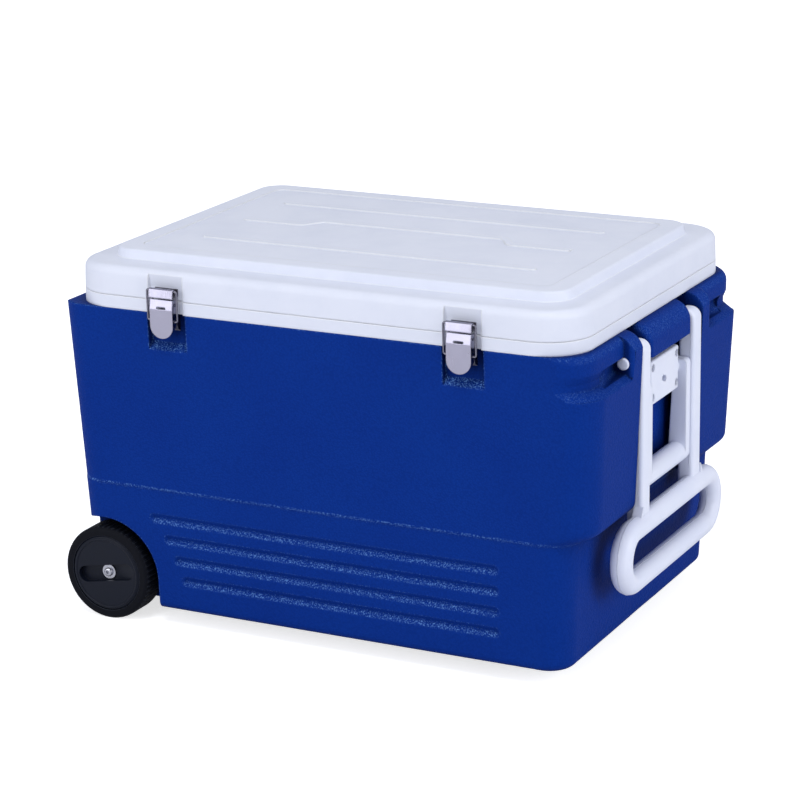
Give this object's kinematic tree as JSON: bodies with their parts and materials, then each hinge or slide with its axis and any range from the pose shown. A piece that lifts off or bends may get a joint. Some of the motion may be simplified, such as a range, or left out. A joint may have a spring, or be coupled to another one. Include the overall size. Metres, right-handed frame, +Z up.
{
  "type": "wheeled insulated vaccine carrier",
  "caption": "Wheeled insulated cool box for vaccines with a hinged lid, draw latches, swing-out tow handle, nested carry handle, rolling end and drain cap.",
  "frame": {"origin": "on the ground under the middle of the closed box, between the wheel tread and the tow loop, and between the latch levers and the hinge knuckles", "axes": "+X towards the handle end, -Y towards the latches, +Z up"},
  "size_m": [0.699, 0.489, 0.4511],
  "materials": {
    "blue_polyethylene": "satin",
    "white_polypropylene": "satin",
    "white_handle_plastic": "satin",
    "polyurethane_foam": "matte",
    "seal_rubber": "matte",
    "foot_rubber": "matte",
    "stainless_sheet": "polished",
    "plated_screws": "satin",
    "black_wheel_plastic": "satin",
    "wheel_tread": "matte",
    "nylon": "satin"
  },
  "bodies": {
    "body": {"body_shell": "blue_polyethylene", "liner": "white_polypropylene", "body_foam": "polyurethane_foam", "foot_front": "foot_rubber", "foot_rear": "foot_rubber", "foot_screws": "plated_screws", "axle": "plated_screws", "axle_washers": "plated_screws", "axle_screws": "plated_screws", "latch_base_left": "stainless_sheet", "latch_base_right": "stainless_sheet", "latch_rivets_left": "stainless_sheet", "latch_rivets_right": "stainless_sheet", "latch_pin_left": "stainless_sheet", "latch_pin_right": "stainless_sheet", "hinge_body_leaves": "stainless_sheet", "hinge_body_screws": "plated_screws", "hinge_pins": "stainless_sheet", "tow_pin_front": "white_handle_plastic", "tow_pin_rear": "white_handle_plastic", "carry_bracket": "white_handle_plastic", "carry_pin": "plated_screws", "bracket_screws": "plated_screws", "drain_spigot": "white_handle_plastic"},
    "lid": {"lid_shell": "white_polypropylene", "lid_liner": "white_polypropylene", "lid_foam": "polyurethane_foam", "lid_gasket": "seal_rubber", "hinge_lid_leaves": "stainless_sheet", "hinge_lid_screws": "plated_screws", "latch_strike_left": "stainless_sheet", "latch_strike_right": "stainless_sheet", "strike_rivets": "stainless_sheet"},
    "lever_left": {"latch_lever_left": "stainless_sheet"},
    "bail_left": {"latch_bail_left": "stainless_sheet", "latch_hook_left": "stainless_sheet"},
    "lever_right": {"latch_lever_right": "stainless_sheet"},
    "bail_right": {"latch_bail_right": "stainless_sheet", "latch_hook_right": "stainless_sheet"},
    "tow_handle": {"tow_handle": "white_handle_plastic"},
    "carry_handle": {"carry_handle": "white_handle_plastic"},
    "wheel_front": {"wheel_front": "black_wheel_plastic", "tyre_front": "wheel_tread", "wheel_bush_front": "nylon"},
    "wheel_rear": {"wheel_rear": "black_wheel_plastic", "tyre_rear": "wheel_tread", "wheel_bush_rear": "nylon"},
    "drain_cap": {"drain_cap": "white_handle_plastic", "drain_seal": "seal_rubber"}
  },
  "joints": [
    {"name": "lid_hinge", "type": "hinge", "parent": "body", "child": "lid", "pos_m": [0, 0.24, 0.4058], "axis": [-1, 0, 0], "range_deg": [0, 100]},
    {"name": "latch_lever_left_swing", "type": "hinge", "parent": "body", "child": "lever_left", "pos_m": [-0.188, -0.2383, 0.403], "axis": [-1, 0, 0], "range_deg": [0, 120]},
    {"name": "latch_bail_left_swing", "type": "hinge", "parent": "lever_left", "child": "bail_left", "pos_m": [-0.188, -0.2405, 0.384], "axis": [-1, 0, 0], "range_deg": [-120, 0]},
    {"name": "latch_lever_right_swing", "type": "hinge", "parent": "body", "child": "lever_right", "pos_m": [0.188, -0.2383, 0.403], "axis": [-1, 0, 0], "range_deg": [0, 120]},
    {"name": "latch_bail_right_swing", "type": "hinge", "parent": "lever_right", "child": "bail_right", "pos_m": [0.188, -0.2405, 0.384], "axis": [-1, 0, 0], "range_deg": [-120, 0]},
    {"name": "tow_handle_swing", "type": "hinge", "parent": "body", "child": "tow_handle", "pos_m": [0.3295, 0, 0.359], "axis": [0, -1, 0], "range_deg": [0, 100]},
    {"name": "carry_handle_swing", "type": "hinge", "parent": "body", "child": "carry_handle", "pos_m": [0.32, 0, 0.312], "axis": [0, -1, 0], "range_deg": [0, 90]},
    {"name": "wheel_front_spin", "type": "hinge", "parent": "body", "child": "wheel_front", "pos_m": [-0.292, -0.207, 0.0575], "axis": [0, 1, 0], "continuous": true},
    {"name": "wheel_rear_spin", "type": "hinge", "parent": "body", "child": "wheel_rear", "pos_m": [-0.292, 0.207, 0.0575], "axis": [0, 1, 0], "continuous": true},
    {"name": "drain_cap_pull", "type": "slide", "parent": "body", "child": "drain_cap", "axis": [-1, 0, 0], "range_m": [0, 0.04]}
  ],
  "couplings": [
    {"joint": "latch_bail_left_swing", "follows": "latch_lever_left_swing", "ratio": -1},
    {"joint": "latch_bail_right_swing", "follows": "latch_lever_right_swing", "ratio": -1}
  ]
}
